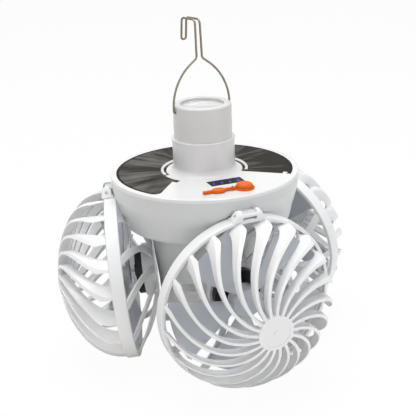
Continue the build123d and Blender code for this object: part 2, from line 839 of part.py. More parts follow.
boss_places = [polar(boss_circle, azimuth) for azimuth in boss_azimuths]
with BuildPart() as upper_housing:
    with BuildSketch(section):
        with BuildLine():
            FilletPolyline(
                (0, -cover_thickness),
                (rim_radius - bowl_lip_inset, -cover_thickness),
                (rim_radius - bowl_shoulder_inset, -bowl_shoulder_depth),
                (rim_radius - bowl_step_inset, -bowl_step_depth),
                (rim_radius - bowl_step_inset - bowl_step, -bowl_step_depth),
                (rim_radius - bowl_foot_inset, -bowl_depth),
                (0, -bowl_depth),
                radius=[0, 0, 0, 0, 0, bowl_corner_round, 0],
                close=True,
            )
        make_face()
    revolve(axis=Axis.Z)
    for pod_name, azimuth, opening in pods:
        add(recess_shape.moved(pod_plane(azimuth, 0).location), mode=Mode.SUBTRACT)
        add(hinge_pocket.part.moved(hinge_plane(azimuth).location), mode=Mode.SUBTRACT)
    add(bowl_hollow.part, mode=Mode.SUBTRACT)
    for pod_name, azimuth, opening in pods:
        add(hinge_knuckle.part.moved(hinge_plane(azimuth).location))
    with BuildSketch(level(-bowl_depth)):
        with Locations(*boss_places):
            Circle(boss_radius)
    extrude(amount=bowl_depth - boss_joint_depth)
    with BuildSketch(level(-bowl_depth)):
        with Locations(*boss_places):
            Circle(screw_head_radius + part_fit)
    extrude(amount=bowl_depth - screw_seat_depth, mode=Mode.SUBTRACT)
    with BuildSketch(level(-screw_seat_depth)):
        with Locations(*boss_places):
            Circle(screw_radius + 2 * part_fit)
    extrude(amount=screw_seat_depth - boss_joint_depth, mode=Mode.SUBTRACT)
    with BuildSketch(level(-bowl_depth)):
        Circle(lower_radius + part_fit)
    extrude(amount=shell_wall, mode=Mode.SUBTRACT)
upper_housing.part.label = "upper_housing"
export_step(upper_housing.part, "parts/upper_housing.step")

# ---------------------------------------------------------------- housing screws
with BuildPart() as housing_screws:
    with BuildSketch(level(-screw_seat_depth - screw_head_height)):
        with Locations(*boss_places):
            Circle(screw_head_radius)
    extrude(amount=screw_head_height)
    with BuildSketch(level(-screw_seat_depth)):
        with Locations(*boss_places):
            Circle(screw_radius)
    extrude(amount=screw_seat_depth - cover_thickness - 1.6)
    with BuildSketch(level(-screw_seat_depth - screw_head_height)):
        with Locations(*boss_places):
            Rectangle(0.7, 3.2)
            Rectangle(3.2, 0.7)
    extrude(amount=0.9, mode=Mode.SUBTRACT)
housing_screws.part.label = "housing_screws"
export_step(housing_screws.part, "parts/housing_screws.step")

# ---------------------------------------------------------------- lower housing
# Tapered tube hung by its flange in the bowl's floor, closed by a floor that
# carries the battery holder, with posts under it for the lamp board.
tube_foot = lower_radius - lower_taper
lamp_board_top = floor_top - lower_floor - lamp_board_gap
with BuildPart() as lower_housing:
    with BuildSketch(section):
        with BuildLine():
            Polyline(
                (lower_inner, -bowl_depth + 2 * shell_wall),
                (lower_radius + flange_width, -bowl_depth + 2 * shell_wall),
                (lower_radius + flange_width, -bowl_depth + shell_wall),
                (lower_radius, -bowl_depth + shell_wall),
                (lower_radius, -bowl_depth),
                (tube_foot, lower_foot),
                (tube_foot - shell_wall, lower_foot),
                (tube_foot - shell_wall, floor_top - lower_floor),
                (wire_passage_radius, floor_top - lower_floor),
                (wire_passage_radius, floor_top),
                (tube_foot - shell_wall, floor_top),
                (lower_inner, -bowl_depth),
                close=True,
            )
        make_face()
    revolve(axis=Axis.Z)
    with BuildSketch(level(lamp_board_top)):
        with PolarLocations(skirt_inner - 8, 3):
            Circle(2.0)
    extrude(amount=lamp_board_gap)
lower_housing.part.label = "lower_housing"
export_step(lower_housing.part, "parts/lower_housing.step")

# ---------------------------------------------------------------- lamp board and diffuser
with BuildPart() as lamp_board:
    with BuildSketch(level(lamp_board_top - board_thickness)):
        Circle(skirt_inner - diffuser_wall - 3 * part_fit)
    extrude(amount=board_thickness)
    with BuildSketch(level(lamp_board_top - board_thickness)):
        with PolarLocations(skirt_inner * 0.55, lamp_led_count):
            Rectangle(3.0, 3.0)
    extrude(amount=-0.8)
lamp_board.part.label = "lamp_board"
export_step(lamp_board.part, "parts/lamp_board.step")

diffuser_spigot = skirt_inner - part_fit
diffuser_foot = lower_foot - diffuser_height
with BuildPart() as lamp_diffuser:
    with BuildSketch(section):
        with BuildLine():
            FilletPolyline(
                (0, diffuser_foot),
                (tube_foot - diffuser_taper, diffuser_foot),
                (tube_foot, lower_foot),
                (diffuser_spigot, lower_foot),
                (diffuser_spigot, lower_foot + lower_skirt - 0.2),
                (diffuser_spigot - diffuser_wall, lower_foot + lower_skirt - 0.2),
                (diffuser_spigot - diffuser_wall, lower_foot - 1.5),
                (tube_foot - diffuser_taper - diffuser_wall, diffuser_foot + diffuser_wall),
                (0, diffuser_foot + diffuser_wall),
                radius=[0, diffuser_round, 0, 0, 0, 0, 0, diffuser_round - diffuser_wall, 0],
                close=True,
            )
        make_face()
    revolve(axis=Axis.Z)
lamp_diffuser.part.label = "lamp_diffuser"
export_step(lamp_diffuser.part, "parts/lamp_diffuser.step")

# ---------------------------------------------------------------- battery cells and holder
cell_places = [polar(pack_radius, 90 + 120 * index) for index in range(3)]
with BuildPart() as battery_cells:
    with BuildSketch(level(cell_foot)):
        with Locations(*cell_places):
            Circle(cell_radius)
    extrude(amount=cell_length)
    with BuildSketch(level(cell_top)):
        with Locations(*cell_places):
            Circle(cell_nub_radius)
    extrude(amount=cell_nub_height)
battery_cells.part.label = "battery_cells"
export_step(battery_cells.part, "parts/battery_cells.step")

with BuildPart() as battery_holder:
    with BuildSketch(level(floor_top)):
        Circle(pack_reach + 0.8)
    extrude(amount=holder_base)
    with BuildSketch(level(cell_foot)):
        Circle(holder_core_radius)
        with Locations(*cell_places):
            Circle(cell_radius + 0.25, mode=Mode.SUBTRACT)
    extrude(amount=cell_length * 0.9)
battery_holder.part.label = "battery_holder"
export_step(battery_holder.part, "parts/battery_holder.step")

# ---------------------------------------------------------------- hanging hook
# One wire: both ends turn in the neck's sides, the legs meet above the neck, run up
# side by side, bend over in a crook and close in a small loop.
hook_leg = neck_radius + hook_leg_gap + hook_wire_radius
hook_strand = hook_strand_gap / 2 + hook_wire_radius
hook_top_strand = hook_top_strand_gap / 2 + hook_wire_radius
hook_end = neck_inner + hook_leg_end - neck_wall / 2
half_path = (
    (-hook_end, 0, 0),
    (-hook_leg, 0, 0),
    (-hook_leg, 0, hook_leg_height),
    (-hook_strand, 0, hook_shank_start),
    (-hook_top_strand, 0, hook_rise),
    (-hook_top_strand, hook_crook_width, hook_rise),
    (-hook_top_strand, hook_crook_width + hook_crook_flare, hook_tip_height),
)
half_bends = (
    hook_leg_bend,
    hook_shoulder_bend,
    hook_shank_bend,
    hook_crook_bend,
    hook_crook_bend,
    hook_top_strand - 0.1,
)
other_half = tuple((-across, ahead, up) for across, ahead, up in reversed(half_path))
lean_turn = radians(hook_azimuth + 90)
lean_sine = sin(radians(hook_lean))
hook_up = (lean_sine * cos(lean_turn), lean_sine * sin(lean_turn), cos(radians(hook_lean)))
hook_plane = Plane(origin=hook_pivot, x_dir=hook_across, z_dir=hook_up)
with BuildPart() as hanging_hook:
    with BuildLine(hook_plane) as hook_path:
        FilletPolyline(half_path + other_half, radius=half_bends + tuple(reversed(half_bends)))
    with BuildSketch(Plane(origin=hook_path.line @ 0, z_dir=hook_path.line % 0)):
        Circle(hook_wire_radius)
    sweep()
hanging_hook.part.label = "hanging_hook"
export_step(hanging_hook.part, "parts/hanging_hook.step")

# ---------------------------------------------------------------- pod: front guard
# Moulded band with a dome of spiral vanes that meet in a flat disc.
dome_radius = ring_radius - dome_inset
dome_inner = dome_radius - vane_edge_depth
dome_inner_rise = dome_rise - vane_crown_depth
band_inner = ring_radius - band_wall
vane_tip = disc_radius - 1.0
vane_middle = (dome_radius - 0.5 + vane_tip) / 2
disc_top = band_depth + dome_rise - disc_sink
with BuildPart() as dome_shell:
    with BuildSketch(Plane.XZ):
        with BuildLine():
            dome_outer_arc = EllipticalCenterArc(
                (0, band_depth),
                dome_radius,
                dome_rise,
                start_angle=0,
                arc_size=90,
            )
            dome_inner_arc = EllipticalCenterArc(
                (0, band_depth),
                dome_inner,
                dome_inner_rise,
                start_angle=0,
                arc_size=90,
            )
            Line(dome_outer_arc @ 1, dome_inner_arc @ 1)
            Polyline(
                dome_outer_arc @ 0,
                (dome_radius, band_depth - vane_root),
                (dome_inner, band_depth - vane_root),
                dome_inner_arc @ 0,
            )
        make_face()
    revolve(axis=Axis.Z)

vane_line = ThreePointArc(
    polar(dome_radius - 0.5, vane_start_angle),
    polar(vane_middle, vane_start_angle + vane_mid_turn),
    polar(vane_tip, vane_start_angle + vane_end_turn),
)
with BuildPart() as vane:
    with BuildSketch(Plane.XY):
        SlotArc(vane_line, vane_thickness)
    extrude(amount=band_depth + dome_rise)
    add(dome_shell.part, mode=Mode.INTERSECT)

with BuildPart() as front_guard:
    with BuildSketch(Plane.XZ):
        with BuildLine():
            FilletPolyline(
                (band_inner, 0),
                (ring_radius, 0),
                (ring_radius, band_depth),
                (band_inner, band_depth),
                radius=[0, 0, band_round, 0],
                close=True,
            )
        make_face()
        with BuildLine():
            Polyline(
                (0, disc_top - disc_thickness),
                (disc_radius, disc_top - disc_thickness),
                (disc_radius, disc_top),
                (disc_radius - disc_rim, disc_top),
                (disc_radius - disc_rim, disc_top - disc_recess),
                (disc_nub_radius, disc_top - disc_recess),
                (disc_nub_radius, disc_top - disc_recess + disc_nub_rise),
                (0, disc_top - disc_recess + disc_nub_rise),
                close=True,
            )
        make_face()
    revolve(axis=Axis.Z)
    with PolarLocations(0, vane_count):
        add(vane.part)

# ---------------------------------------------------------------- pod: rear guard
# Moulded band with a spigot inside the front band, a hinge lug on top, flat curved
# ribs, and a plate with a cup that the motor sits in.
plate_back = -band_depth - rear_rise
plate_front = plate_back + motor_plate
spigot_radius = band_inner - part_fit
with BuildPart() as rear_shell:
    with BuildSketch(Plane.XZ):
        with BuildLine():
            rear_outer_arc = rear_curve(0)
            rear_inner_arc = rear_curve(-rib_depth)
            Line(rear_outer_arc @ 0, rear_inner_arc @ 0)
            Polyline(
                rear_outer_arc @ 1,
                (rear_radius, -band_depth + rib_depth),
                (rear_radius - rib_depth, -band_depth + rib_depth),
                rear_inner_arc @ 1,
            )
        make_face()
    revolve(axis=Axis.Z)

rib_line = ThreePointArc(
    polar(rear_radius - 0.2, 0),
    polar((rear_radius + plate_radius) / 2, rib_mid_turn),
    polar(plate_radius - 2.5, rib_end_turn),
)
with BuildPart() as rib:
    with BuildSketch(Plane.XY.offset(plate_back)):
        SlotArc(rib_line, rib_width)
    extrude(amount=rear_rise + rib_depth)
    add(rear_shell.part, mode=Mode.INTERSECT)

motor_screw_places = [polar(motor_screw_circle, 90 + 120 * index) for index in range(3)]
slot_half = knuckle_width / 2 + moving_gap
with BuildPart() as rear_guard:
    with BuildSketch(Plane.YZ):
        with Locations((arm_length, pin_lead)):
            Circle(lug_radius)
        with BuildLine():
            Polyline(
                (arm_length, pin_lead + lug_radius),
                (ring_radius - lug_foot, pin_lead + lug_radius),
                (ring_radius - lug_foot, -band_depth),
                (ring_radius - 0.9, -band_depth),
                (ring_radius + 0.8, pin_lead - lug_radius),
                (arm_length, pin_lead - lug_radius),
                close=True,
            )
        make_face()
    extrude(amount=lug_width / 2, both=True)
    with BuildSketch(Plane.XY.offset(-band_depth)):
        for side in (-1, 1):
            with BuildLine():
                Polyline(
                    (side * lug_width / 2, ring_radius),
                    (side * lug_top_width / 2, arm_length + lug_radius),
                    (side * lug_width / 2, arm_length + lug_radius),
                    close=True,
                )
            make_face()
    extrude(amount=band_depth + pin_lead + lug_radius, mode=Mode.SUBTRACT)
    with BuildSketch(Plane.XY):
        Circle(ring_radius + part_fit)
    extrude(amount=pin_lead + lug_radius + 1, mode=Mode.SUBTRACT)
    with BuildSketch(Plane.YZ):
        with Locations((arm_length, pin_lead)):
            Circle(knuckle_radius + moving_gap)
        with Locations((ring_radius + 5, -5)):
            Rectangle(10, 2 * pin_lead + 10)
        with Locations((arm_length + 5, pin_lead + knuckle_radius + moving_gap - 5)):
            Rectangle(10, 10)
    extrude(amount=slot_half, both=True, mode=Mode.SUBTRACT)
    with BuildSketch(Plane.YZ):
        with Locations((ring_radius + lug_window_height / 2, pin_lead + lug_radius)):
            Rectangle(lug_window_height, 2 * lug_radius)
    extrude(amount=slot_half - 0.2, both=True, mode=Mode.SUBTRACT)
    with BuildSketch(Plane.YZ):
        with Locations((arm_length, pin_lead)):
            Circle(pin_radius + 0.02)
    extrude(amount=lug_width, both=True, mode=Mode.SUBTRACT)
    with BuildSketch(Plane.XZ):
        with BuildLine():
            FilletPolyline(
                (ring_radius, -band_depth),
                (ring_radius, 0),
                (spigot_radius, 0),
                (spigot_radius, spigot_rise),
                (spigot_radius - spigot_wall, spigot_rise),
                (spigot_radius - spigot_wall, -1.0),
                (band_inner, -2.5),
                (band_inner, -band_depth),
                radius=[band_round, 0, 0, 0, 0, 0, 0, 0],
                close=True,
            )
        make_face()
        with BuildLine():
            Polyline(
                (0, plate_back),
                (plate_radius, plate_back),
                (plate_radius, plate_front),
                (cup_radius, plate_front),
                (cup_radius, plate_front + motor_cup_height),
                (motor_radius + part_fit, plate_front + motor_cup_height),
                (motor_radius + part_fit, plate_front),
                (0, plate_front),
                close=True,
            )
        make_face()
    revolve(axis=Axis.Z)
    with PolarLocations(0, rib_count):
        add(rib.part)
    with BuildSketch(Plane.XY.offset(plate_front)):
        Circle(motor_radius + part_fit)
    extrude(amount=motor_cup_height, mode=Mode.SUBTRACT)
    with BuildSketch(Plane.XY.offset(plate_back)):
        with Locations(*motor_screw_places):
            Circle(motor_screw_radius + part_fit)
    extrude(amount=motor_plate, mode=Mode.SUBTRACT)
    with BuildSketch(Plane.XY.offset(plate_back)):
        with Locations(*motor_screw_places):
            Circle(motor_screw_head + part_fit)
    extrude(amount=1.2, mode=Mode.SUBTRACT)

# ---------------------------------------------------------------- pod: motor and its screws
motor_front = plate_front + motor_length
boss_front = motor_front + motor_boss_rise
with BuildPart() as motor:
    with BuildSketch(Plane.XZ):
        with BuildLine():
            FilletPolyline(
                (0, plate_front),
                (motor_radius, plate_front),
                (motor_radius, motor_front),
                (motor_boss_radius, motor_front),
                (motor_boss_radius, boss_front),
                (0, boss_front),
                radius=[0, 0, 1.0, 0, 0, 0],
                close=True,
            )
        make_face()
    revolve(axis=Axis.Z)
    with BuildSketch(Plane.XY.offset(plate_front + 1.0)):
        Circle(shaft_radius + shaft_play)
    extrude(amount=motor_length + motor_boss_rise, mode=Mode.SUBTRACT)
    with BuildSketch(Plane.XY.offset(plate_front)):
        with Locations(*motor_screw_places):
            Circle(motor_screw_radius + 0.02)
    extrude(amount=motor_screw_length, mode=Mode.SUBTRACT)

with BuildPart() as motor_screws:
    with BuildSketch(Plane.XY.offset(plate_back + 0.1)):
        with Locations(*motor_screw_places):
            Circle(motor_screw_head)
    extrude(amount=1.1)
    with BuildSketch(Plane.XY.offset(plate_back + 1.2)):
        with Locations(*motor_screw_places):
            Circle(motor_screw_radius)
    extrude(amount=motor_screw_length)
    with BuildSketch(Plane.XY.offset(plate_back + 0.1)):
        with Locations(*motor_screw_places):
            Rectangle(0.5, 2.4)
            Rectangle(2.4, 0.5)
    extrude(amount=0.6, mode=Mode.SUBTRACT)

# ---------------------------------------------------------------- pod: shaft and impeller
hub_rear = boss_front + rotor_gap
hub_front = hub_rear + hub_length
impeller_radius = spigot_radius - spigot_wall - blade_tip_gap
with BuildPart() as motor_shaft:
    with BuildSketch(Plane.XY.offset(plate_front + 1.4)):
        Circle(shaft_radius)
    extrude(amount=hub_front - 1.0 - plate_front - 1.4)

blade_height = (hub_rear + hub_front) / 2
blade_root = hub_radius - hub_wall + 0.3
blade_outline_half = 20
blade_tip_width = blade_tip_chord * cos(radians(blade_tip_pitch)) + 0.6
with BuildPart() as blade:
    for radius, chord, pitch in (
        (blade_root, blade_root_chord, blade_root_pitch),
        (impeller_radius + 2, blade_tip_chord, blade_tip_pitch),
    ):
        half_chord = chord / 2 - blade_thickness / 2
        blade_line = ThreePointArc((-half_chord, 0), (0, blade_camber), (half_chord, 0))
        with BuildSketch(Plane(origin=(radius, 0, blade_height), x_dir=(0, 1, 0), z_dir=(1, 0, 0))):
            SlotArc(blade_line, blade_thickness, rotation=pitch)
    loft()
    with BuildSketch(Plane.XY.offset(blade_height - blade_outline_half)):
        Circle(impeller_radius)
        RectangleRounded(2 * impeller_radius, blade_tip_width, blade_tip_round, mode=Mode.INTERSECT)
    extrude(amount=2 * blade_outline_half, mode=Mode.INTERSECT)

with BuildPart() as impeller:
    with BuildSketch(Plane.XZ):
        with BuildLine():
            FilletPolyline(
                (0, hub_front),
                (hub_radius, hub_front),
                (hub_radius, hub_rear),
                (hub_radius - hub_wall, hub_rear),
                (hub_radius - hub_wall, hub_front - 2.0),
                (3.0, hub_front - 2.0),
                (3.0, hub_rear + 1.0),
                (0, hub_rear + 1.0),
                radius=[0, 1.6, 0, 0, 0, 0, 0, 0],
                close=True,
            )
        make_face()
    revolve(axis=Axis.Z)
    with PolarLocations(0, blade_count, start_angle=blade_start_angle):
        add(blade.part)
    with BuildSketch(Plane.XY.offset(hub_rear)):
        Circle(shaft_radius + 0.02)
    extrude(amount=hub_length - 0.8, mode=Mode.SUBTRACT)

# ---------------------------------------------------------------- pod: hinge pin
with BuildPart() as hinge_pin:
    with BuildSketch(Plane.YZ):
        with Locations((arm_length, pin_lead)):
            Circle(pin_radius)
    extrude(amount=pin_half, both=True)

# ---------------------------------------------------------------- placing the pods
pod_pieces = (
    ("front_guard", front_guard.part),
    ("rear_guard", rear_guard.part),
    ("motor", motor.part),
    ("motor_screws", motor_screws.part),
    ("motor_shaft", motor_shaft.part),
    ("impeller", impeller.part),
    ("hinge_pin", hinge_pin.part),
)
for pod_name, azimuth, opening in pods:
    pod_place = pod_plane(azimuth, opening).location
    for piece_name, piece in pod_pieces:
        with BuildPart() as placed_piece:
            add(piece.moved(pod_place))
        placed_piece.part.label = pod_name + "_" + piece_name
        export_step(placed_piece.part, "parts/" + pod_name + "_" + piece_name + ".step")
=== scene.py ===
import bpy
from math import radians
from mathutils import Matrix, Vector


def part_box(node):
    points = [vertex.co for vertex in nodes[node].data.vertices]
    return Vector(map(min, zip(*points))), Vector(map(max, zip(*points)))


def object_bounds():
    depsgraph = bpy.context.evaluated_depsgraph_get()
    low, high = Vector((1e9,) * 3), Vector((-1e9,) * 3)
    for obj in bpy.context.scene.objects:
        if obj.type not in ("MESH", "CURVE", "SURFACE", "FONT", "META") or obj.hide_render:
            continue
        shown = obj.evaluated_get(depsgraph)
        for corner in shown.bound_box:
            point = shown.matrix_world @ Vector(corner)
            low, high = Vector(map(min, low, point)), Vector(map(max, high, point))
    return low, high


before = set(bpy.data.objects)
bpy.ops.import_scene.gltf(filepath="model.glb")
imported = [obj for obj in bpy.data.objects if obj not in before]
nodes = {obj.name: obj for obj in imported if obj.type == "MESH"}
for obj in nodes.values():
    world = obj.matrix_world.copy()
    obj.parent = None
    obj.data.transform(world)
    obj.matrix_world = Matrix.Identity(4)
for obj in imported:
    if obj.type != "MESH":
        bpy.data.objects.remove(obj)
cad_low, cad_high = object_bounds()

# ---------------------------------------------------------------- camera
# A long lens in front of the controls, a little above the cover and looking down
# at the pods, held with a slight tilt to one side.
rim_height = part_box("solar_panel")[1][2]
camera_data = bpy.data.cameras.new("camera")
camera_data.sensor_width = 36.0
camera_data.lens = 80.95
camera_data.clip_start = 0.01
camera_data.clip_end = 20.0
camera = bpy.data.objects.new("camera", camera_data)
bpy.context.scene.collection.objects.link(camera)
camera_right = Vector((0.99933978, -0.01470744, -0.03322184))
camera_forward = Vector((0.0023357, 0.93851693, -0.34522531))
camera_up = Vector((0.03625663, 0.34491979, 0.93793166))
camera_distance = 0.5808
camera_above_rim = 0.18615
camera_place = (0, -camera_distance, rim_height + camera_above_rim)
camera.matrix_world = Matrix.Translation(camera_place) @ Matrix((
    (camera_right.x, camera_up.x, -camera_forward.x, 0),
    (camera_right.y, camera_up.y, -camera_forward.y, 0),
    (camera_right.z, camera_up.z, -camera_forward.z, 0),
    (0, 0, 0, 1),
))
bpy.context.scene.camera = camera
bpy.context.scene.view_settings.view_transform = "Standard"

# ---------------------------------------------------------------- floor and light
# A white table and a white room, so plain that only the fan's soft shadow shows.
# One broad lamp hangs over the fan, and two weaker ones stand left and right in front.
floor_material = bpy.data.materials.new("white_table")
floor_material.use_nodes = True
floor_tree = floor_material.node_tree
floor_tree.nodes.clear()
floor_output = floor_tree.nodes.new("ShaderNodeOutputMaterial")
floor_mix = floor_tree.nodes.new("ShaderNodeMixShader")
floor_ray = floor_tree.nodes.new("ShaderNodeLightPath")
floor_share = floor_tree.nodes.new("ShaderNodeMath")
floor_share.operation = "MULTIPLY"
floor_share.inputs[1].default_value = 0.955
floor_plain = floor_tree.nodes.new("ShaderNodeBsdfDiffuse")
floor_tone = floor_tree.nodes.new("ShaderNodeMix")
floor_tone.data_type = "RGBA"
floor_tone.inputs["A"].default_value = (0.93, 0.915, 0.9, 1)
floor_tone.inputs["B"].default_value = (0.92, 0.92, 0.92, 1)
floor_glow = floor_tree.nodes.new("ShaderNodeEmission")
floor_glow.inputs["Color"].default_value = (1, 1, 1, 1)
floor_tree.links.new(floor_ray.outputs["Is Camera Ray"], floor_share.inputs[0])
floor_tree.links.new(floor_ray.outputs["Is Camera Ray"], floor_tone.inputs["Factor"])
floor_tree.links.new(floor_tone.outputs["Result"], floor_plain.inputs["Color"])
floor_tree.links.new(floor_share.outputs[0], floor_mix.inputs[0])
floor_tree.links.new(floor_plain.outputs[0], floor_mix.inputs[1])
floor_tree.links.new(floor_glow.outputs[0], floor_mix.inputs[2])
floor_tree.links.new(floor_mix.outputs[0], floor_output.inputs[0])
bpy.ops.object.select_all(action="DESELECT")
floor_radius = 3.0
floor_gap = 0.0003
bpy.ops.mesh.primitive_circle_add(vertices=96, radius=floor_radius, fill_type="NGON", location=(0, 0, 0))
floor = bpy.context.object
floor.name = "table_top"
floor.data.transform(Matrix.Translation((0, 0, cad_low[2] - floor_gap)))
floor.data.materials.append(floor_material)

world = bpy.data.worlds.new("white_room")
bpy.context.scene.world = world
world.use_nodes = True
room_tree = world.node_tree
room_tree.nodes.clear()
room_output = room_tree.nodes.new("ShaderNodeOutputWorld")
room_mix = room_tree.nodes.new("ShaderNodeMixShader")
room_ray = room_tree.nodes.new("ShaderNodeLightPath")
room_seen = room_tree.nodes.new("ShaderNodeMath")
room_seen.operation = "MAXIMUM"
room_seen_glass = room_tree.nodes.new("ShaderNodeMath")
room_seen_glass.operation = "MAXIMUM"
room_soft = room_tree.nodes.new("ShaderNodeBackground")
room_soft.inputs["Color"].default_value = (0.96, 0.975, 1.0, 1)
room_soft.inputs["Strength"].default_value = 0.36
room_white = room_tree.nodes.new("ShaderNodeBackground")
room_white.inputs["Color"].default_value = (1, 1, 1, 1)
room_white.inputs["Strength"].default_value = 1.0
room_tree.links.new(room_ray.outputs["Is Camera Ray"], room_seen.inputs[0])
room_tree.links.new(room_ray.outputs["Is Glossy Ray"], room_seen.inputs[1])
room_tree.links.new(room_seen.outputs[0], room_seen_glass.inputs[0])
room_tree.links.new(room_ray.outputs["Is Transmission Ray"], room_seen_glass.inputs[1])
room_tree.links.new(room_seen_glass.outputs[0], room_mix.inputs[0])
room_tree.links.new(room_soft.outputs[0], room_mix.inputs[1])
room_tree.links.new(room_white.outputs[0], room_mix.inputs[2])
room_tree.links.new(room_mix.outputs[0], room_output.inputs[0])


def hang_lamp(name, place, aim, size, power, colour):
    lamp_data = bpy.data.lights.new(name, "AREA")
    lamp_data.shape = "SQUARE"
    lamp_data.size = size
    lamp_data.energy = power
    lamp_data.color = colour
    lamp = bpy.data.objects.new(name, lamp_data)
    bpy.context.scene.collection.objects.link(lamp)
    lamp.location = place
    lamp.rotation_euler = (Vector(aim) - Vector(place)).to_track_quat("-Z", "Y").to_euler()


hang_lamp("key_lamp", (-0.95, -0.7, 0.8), (0, 0, 0.09), 0.8, 3.4, (1.0, 0.985, 0.955))
hang_lamp("top_lamp", (-0.05, 0.1, 1.25), (0, 0, 0.12), 0.9, 12.0, (1.0, 1.0, 1.0))
hang_lamp("side_lamp", (0.95, -0.7, 0.35), (0, 0, 0.08), 0.7, 3.3, (0.98, 0.99, 1.0))


def new_finish(name, colour, roughness, metallic=0.0):
    material = bpy.data.materials.new(name)
    material.use_nodes = True
    shader = material.node_tree.nodes["Principled BSDF"]
    shader.inputs["Base Color"].default_value = (*colour, 1)
    shader.inputs["Roughness"].default_value = roughness
    shader.inputs["Metallic"].default_value = metallic
    return material, material.node_tree, shader


def add_grain(tree, shader, scale, strength, distance):
    place = tree.nodes.new("ShaderNodeTexCoord")
    grain = tree.nodes.new("ShaderNodeTexNoise")
    grain.inputs["Scale"].default_value = scale
    grain.inputs["Detail"].default_value = 4.0
    bump = tree.nodes.new("ShaderNodeBump")
    bump.inputs["Strength"].default_value = strength
    bump.inputs["Distance"].default_value = distance
    tree.links.new(place.outputs["Object"], grain.inputs["Vector"])
    tree.links.new(grain.outputs["Fac"], bump.inputs["Height"])
    tree.links.new(bump.outputs["Normal"], shader.inputs["Normal"])
    return place


def add_tone(tree, shader, place, scale, light, dark, low, high):
    cloud = tree.nodes.new("ShaderNodeTexNoise")
    cloud.inputs["Scale"].default_value = scale
    cloud.inputs["Detail"].default_value = 3.0
    tone = tree.nodes.new("ShaderNodeMix")
    tone.data_type = "RGBA"
    tone.inputs["A"].default_value = (*light, 1)
    tone.inputs["B"].default_value = (*dark, 1)
    gloss = tree.nodes.new("ShaderNodeMapRange")
    gloss.inputs["To Min"].default_value = low
    gloss.inputs["To Max"].default_value = high
    tree.links.new(place.outputs["Object"], cloud.inputs["Vector"])
    tree.links.new(cloud.outputs["Fac"], tone.inputs["Factor"])
    tree.links.new(cloud.outputs["Fac"], gloss.inputs["Value"])
    tree.links.new(tone.outputs["Result"], shader.inputs["Base Color"])
    tree.links.new(gloss.outputs["Result"], shader.inputs["Roughness"])


def dress(node_names, material):
    for name in node_names:
        if len(nodes[name].material_slots) == 0:
            nodes[name].data.materials.append(material)
        for slot in nodes[name].material_slots:
            slot.material = material


def moulded_white(name, light, dark, low, high):
    material, tree, shader = new_finish(name, light, low)
    place = add_grain(tree, shader, 900.0, 0.06, 0.0002)
    add_tone(tree, shader, place, 22.0, light, dark, low, high)
    shader.inputs["Coat Weight"].default_value = 0.35
    shader.inputs["Coat Roughness"].default_value = 0.12
    shader.inputs["IOR"].default_value = 1.5
    return material


# The bowl's white plastic, its colour painted darker than the lid's as the shade that falls under the
# lid.
shaded_body_white = moulded_white("shaded_body_white", (0.64, 0.648, 0.648), (0.62, 0.628, 0.632), 0.28, 0.4)
dress(["upper_housing"], shaded_body_white)

# ---------------------------------------------------------------- lower housing
# The tapered battery tube under the bowl, moulded in the same white plastic and
# hung in the bowl's floor by its flange; it shares the bowl's colour with its painted shade.
dress(["lower_housing"], shaded_body_white)

# ---------------------------------------------------------------- lamp board and diffuser
# The lantern in the foot: a green board with a ring of LEDs behind a frosted cup
# that is pressed into the skirt of the tube.
frosted, frosted_tree, frosted_shader = new_finish("frosted_cup", (0.86, 0.865, 0.85), 0.5)
frosted_shader.inputs["Transmission Weight"].default_value = 0.25
frosted_shader.inputs["IOR"].default_value = 1.45
add_grain(frosted_tree, frosted_shader, 1500.0, 0.12, 0.0002)
dress(["lamp_diffuser"], frosted)


def solder_mask(name):
    material, tree, shader = new_finish(name, (0.03, 0.2, 0.07), 0.35)
    place = add_grain(tree, shader, 600.0, 0.15, 0.0002)
    add_tone(tree, shader, place, 260.0, (0.03, 0.22, 0.08), (0.02, 0.15, 0.05), 0.25, 0.45)
    return material


board_mask = solder_mask("board_green")
dress(["lamp_board"], board_mask)

# ---------------------------------------------------------------- battery cells and holder
# Three lithium cells in blue shrink wrap, standing in a holder moulded in black
# nylon that drops into the tube.
wrap, wrap_tree, wrap_shader = new_finish("cell_wrap", (0.03, 0.09, 0.32), 0.3)
wrap_place = add_grain(wrap_tree, wrap_shader, 120.0, 0.1, 0.0004)
add_tone(wrap_tree, wrap_shader, wrap_place, 60.0, (0.03, 0.1, 0.34), (0.02, 0.07, 0.27), 0.25, 0.4)
dress(["battery_cells"], wrap)
black_nylon, nylon_tree, nylon_shader = new_finish("black_nylon", (0.02, 0.02, 0.022), 0.45)
add_grain(nylon_tree, nylon_shader, 1100.0, 0.2, 0.0002)
dress(["battery_holder"], black_nylon)

# ---------------------------------------------------------------- circuit board
# The control board under the cover with its switch and charging socket, both
# soldered down; the socket's shell is bent from bright sheet steel.
dress(["circuit_board", "torch_led_board"], board_mask)
dress(["tact_switch"], black_nylon)


def bare_steel(name, colour, low, high):
    material, tree, shader = new_finish(name, colour, low, 1.0)
    place = add_grain(tree, shader, 1400.0, 0.12, 0.0001)
    tarnish = 0.86
    darker = tuple(part * tarnish for part in colour)
    add_tone(tree, shader, place, 90.0, colour, darker, low, high)
    return material


shell_steel = bare_steel("socket_steel", (0.62, 0.62, 0.63), 0.22, 0.38)
dress(["usb_socket"], shell_steel)

# ---------------------------------------------------------------- top cover
# The moulded lid with the neck's sleeve, pressed on to the bowl's rim: the same white plastic,
# a little glossier than the bowl's and left brighter, where the bowl's and neck's colours carry painted
# shade.
cover_white = moulded_white("cover_white", (0.76, 0.76, 0.757), (0.74, 0.74, 0.74), 0.26, 0.36)
dress(["top_cover"], cover_white)

# ---------------------------------------------------------------- solar panel
# A dark laminate let into the lid: silicon cells with hair-thin silver fingers,
# under a clear film with a black margin. Radial grey streaks on the cells are painted reflection, and
# painted shade darkens them towards one side.
film, film_tree, film_shader = new_finish("solar_laminate", (0.05, 0.05, 0.052), 0.12)
film_place = film_tree.nodes.new("ShaderNodeTexCoord")
film_split = film_tree.nodes.new("ShaderNodeSeparateXYZ")
film_tree.links.new(film_place.outputs["Object"], film_split.inputs[0])


